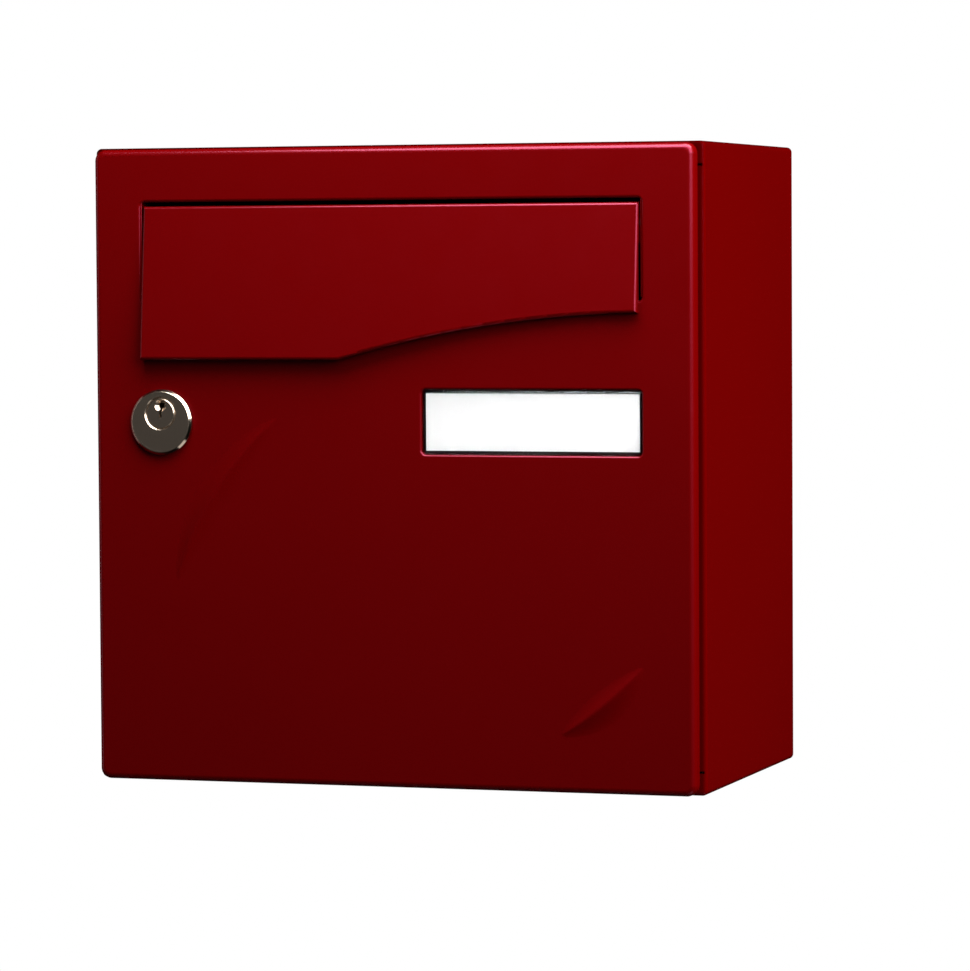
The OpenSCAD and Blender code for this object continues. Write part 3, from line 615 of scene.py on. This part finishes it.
# %%
# Set the marks along the four edges
row = add(weld_tree, "GeometryNodeMeshLine", mode="END_POINTS")
weld_tree.links.new(size["Marks in a row"], row.inputs["Count"])
on_wall = calc(weld_tree, "MULTIPLY", size["Wall"], -1.0)
for label, share in (("Start Location", -0.5), ("Offset", 0.5)):
    end_x = calc(weld_tree, "MULTIPLY", size["Row length"], share)
    row_end = point_at(weld_tree, end_x, size["Row y"], on_wall)
    weld_tree.links.new(row_end, row.inputs[label])
marks = add(weld_tree, "GeometryNodeInstanceOnPoints")
weld_tree.links.new(row.outputs["Mesh"], marks.inputs["Points"])
weld_tree.links.new(closed.outputs["Geometry"], marks.inputs["Instance"])
four_rows = add(weld_tree, "GeometryNodeJoinGeometry")
for quarter in range(4):
    spun = add(weld_tree, "GeometryNodeTransform")
    spun.inputs["Rotation"].default_value = (0, quarter * math.pi / 2, 0)
    weld_tree.links.new(marks.outputs["Instances"], spun.inputs["Geometry"])
    weld_tree.links.new(spun.outputs["Geometry"], four_rows.inputs["Geometry"])
finish_tree(weld_tree, four_rows.outputs["Geometry"], end, LOOKS["red_paint"])

back_low, back_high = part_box("back_panel")
SHEET_T = 0.001
ROW_FORWARD = 0.001
spot_welds = grow("spot_welds", weld_tree, {
    "Row length": 0.24, "Wall": back_high[2] - SHEET_T, "Row y": back_low[1] / 2 - ROW_FORWARD,
    "Mark radius": 0.0028, "Rim height": 0.0002, "Marks in a row": 7})
wear(spot_welds, LOOKS["red_paint"])
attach(spot_welds, "casing")
print("Spot welds:", len(spot_welds.data.polygons), "faces")

# %% [markdown]
# ## The rim of the lock's rose
# The rose is a nickel disc with a polished bevel that mirrors the soft boxes as a white crescent. The
# slope of the bevel decides what it mirrors: too steep, and it shows the red door. A narrow 45 degree
# ring is spun about the rose's middle, and a Bevel modifier rounds its edges, because each rounding of a
# polished edge catches its own thin line of light.

# %%
# Spin the rim


def face_outwards(obj):
    """Turns the faces of a closed mesh outwards."""
    shell = bmesh.new()
    shell.from_mesh(obj.data)
    bmesh.ops.recalc_face_normals(shell, faces=shell.faces)
    shell.to_mesh(obj.data)
    shell.free()


def bridge(loops, n, wrap=False):
    """Quads between neighbouring loops of n points, counted in the order they are stored."""
    pairs = [(i, (i + 1) % loops) for i in range(loops if wrap else loops - 1)]
    return [(a * n + j, a * n + (j + 1) % n, b * n + (j + 1) % n, b * n + j)
            for a, b in pairs for j in range(n)]


def spun_ring(name, profile, middle, steps=160):
    """Spins a closed profile of (radius, y) about an axis along Y."""
    verts = [(middle[0] + r * math.cos(a), y, middle[1] + r * math.sin(a))
             for a in np.linspace(0, 2 * math.pi, steps, endpoint=False) for r, y in profile]
    obj = new_mesh(name, verts, bridge(steps, len(profile), wrap=True), smooth=True)
    face_outwards(obj)
    return obj


ROSE_FRONT = lock_low[1]
RIM_BORE = 0.0135
RIM_LIFT = 0.00002
rose_rim = spun_ring("rose_rim", [
    (RIM_BORE, ROSE_FRONT - RIM_LIFT), (ROSE_FACE_R, ROSE_FRONT - RIM_LIFT), (ROSE_R, ROSE_FRONT + BEVEL_W),
    (ROSE_R, DOOR_FACE), (RIM_BORE, DOOR_FACE)], ROSE)
rounding = rose_rim.modifiers.new("rounding", "BEVEL")
rounding.width = 0.0002
rounding.segments = 3
rounding.limit_method = "ANGLE"
rounding.angle_limit = math.radians(30)
rounding.harden_normals = True
wear(rose_rim, LOOKS["lock_nickel"])
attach(rose_rim, "door")
print("Rose rim:", round(ROSE_R * 2000, 1), "mm across, bevel", round(BEVEL_W * 1000, 2), "mm")

# %% [markdown]
# ## The clear window of the name plate
# The moulding that covers the name card has a round front edge, which bends the card's white away from
# the rim and mirrors the light above as a thin line. A cube with a bevel would round every edge alike, so
# loops of one rounded rectangle are stacked instead, from the pocket round the rim to the front. The
# piece stands for the plain CAD moulding, at the same place and with the same fit.

# %%
# Draw a rounded rectangle
CORNERS = ((0, 1, 1), (1, -1, 1), (2, -1, -1), (3, 1, -1))


def rect_loop(half_w, half_h, corner, y, middle, steps=8):
    """Points of a rounded rectangle in a plane across Y."""
    points = []
    for start, sx, sz in CORNERS:
        for k in range(steps + 1):
            a = (start + k / steps) * math.pi / 2
            points.append((middle[0] + sx * (half_w - corner) + corner * math.cos(a), y,
                           middle[1] + sz * (half_h - corner) + corner * math.sin(a)))
    return points


# %%
# Mould the window
window_low, window_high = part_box("name_window")
card_low, card_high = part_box("name_card")
PLATE = ((window_low[0] + window_high[0]) / 2, (window_low[2] + window_high[2]) / 2)
FLANGE_W = 0.0038
FLANGE_T = 0.0012
PANE_T = 0.0015
EDGE_R = 0.0012
BODY_CORNER, FLANGE_CORNER, POCKET_CORNER = 0.0017, 0.002, 0.0003
CARD_PLAY = (0.0002, 0.0003)
EDGE_STEPS = 11
SHARP = math.radians(35)
flange_w, flange_h = ((window_high[i] - window_low[i]) / 2 for i in (0, 2))
body_w, body_h = flange_w - FLANGE_W, flange_h - FLANGE_W
pocket_w, pocket_h = ((card_high[i] - card_low[i]) / 2 + play for i, play in zip((0, 2), CARD_PLAY))
front, rear = window_low[1], window_high[1]
outline = [
    (pocket_w, pocket_h, POCKET_CORNER, front + PANE_T),
    (pocket_w, pocket_h, POCKET_CORNER, rear),
    (flange_w, flange_h, FLANGE_CORNER, rear),
    (flange_w, flange_h, FLANGE_CORNER, rear - FLANGE_T),
    (body_w, body_h, BODY_CORNER, rear - FLANGE_T)]
for t in np.linspace(0, math.pi / 2, EDGE_STEPS):
    inset = EDGE_R * (1 - math.cos(t))
    outline.append((body_w - inset, body_h - inset, BODY_CORNER - inset, front + EDGE_R * (1 - math.sin(t))))
loops = [rect_loop(w, h, r, y, PLATE) for w, h, r, y in outline]
n = len(loops[0])
last = (len(loops) - 1) * n
faces = bridge(len(loops), n) + [range(n), range(last, last + n)]
window = new_mesh("window_pane", [v for loop in loops for v in loop], faces, smooth=True)
face_outwards(window)
window.data.set_sharp_from_angle(angle=SHARP)
wear(window, LOOKS["clear_plastic"])
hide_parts("name_window")
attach(window, "door")
print("Window:", round(body_w * 2000, 1), "x", round(body_h * 2000, 1), "mm, edge", EDGE_R * 1000, "mm")

# %% [markdown]
# ## Beads beside the flap
# The slot's side lips are rolled at their front edge, which leaves only a hairline beside the flap. A
# curve with a round section would be too thick for the gap, so each bead is a half-round bar along the
# lip. It stays 0.7 mm short of the flap's side, so the flap still swings free.

# %%
# Roll the beads
flap_low, flap_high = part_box("flap")
GAP_SIDE = 0.0012
BEAD_R = 0.0006
BEAD_SINK = 0.0001
BEAD_STEPS = 13
BEAD_SET_BACK = 0.0009
BEAD_Y = DOOR_FACE + BEAD_SET_BACK
BEAD_FOOT, BEAD_TOP = 0.0790, 0.1236
LIPS = {"slot_bead_left": (flap_low[0] - GAP_SIDE, 1), "slot_bead_right": (flap_high[0] + GAP_SIDE, -1)}
for name, (lip_x, side) in LIPS.items():
    section = [(lip_x + side * (BEAD_R * math.cos(a) - BEAD_SINK), BEAD_Y + BEAD_R * math.sin(a))
               for a in np.linspace(-math.pi / 2, math.pi / 2, BEAD_STEPS)]
    n = len(section)
    verts = [(x, y, z) for z in (BEAD_FOOT, BEAD_TOP) for x, y in section]
    bead = new_mesh(name, verts, bridge(2, n) + [range(n), range(n, 2 * n)], smooth=True)
    face_outwards(bead)
    bead.data.set_sharp_from_angle(angle=SHARP)
    wear(bead, LOOKS["red_paint"])
    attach(bead, "door")
    print(name, "at x", round(lip_x, 4))
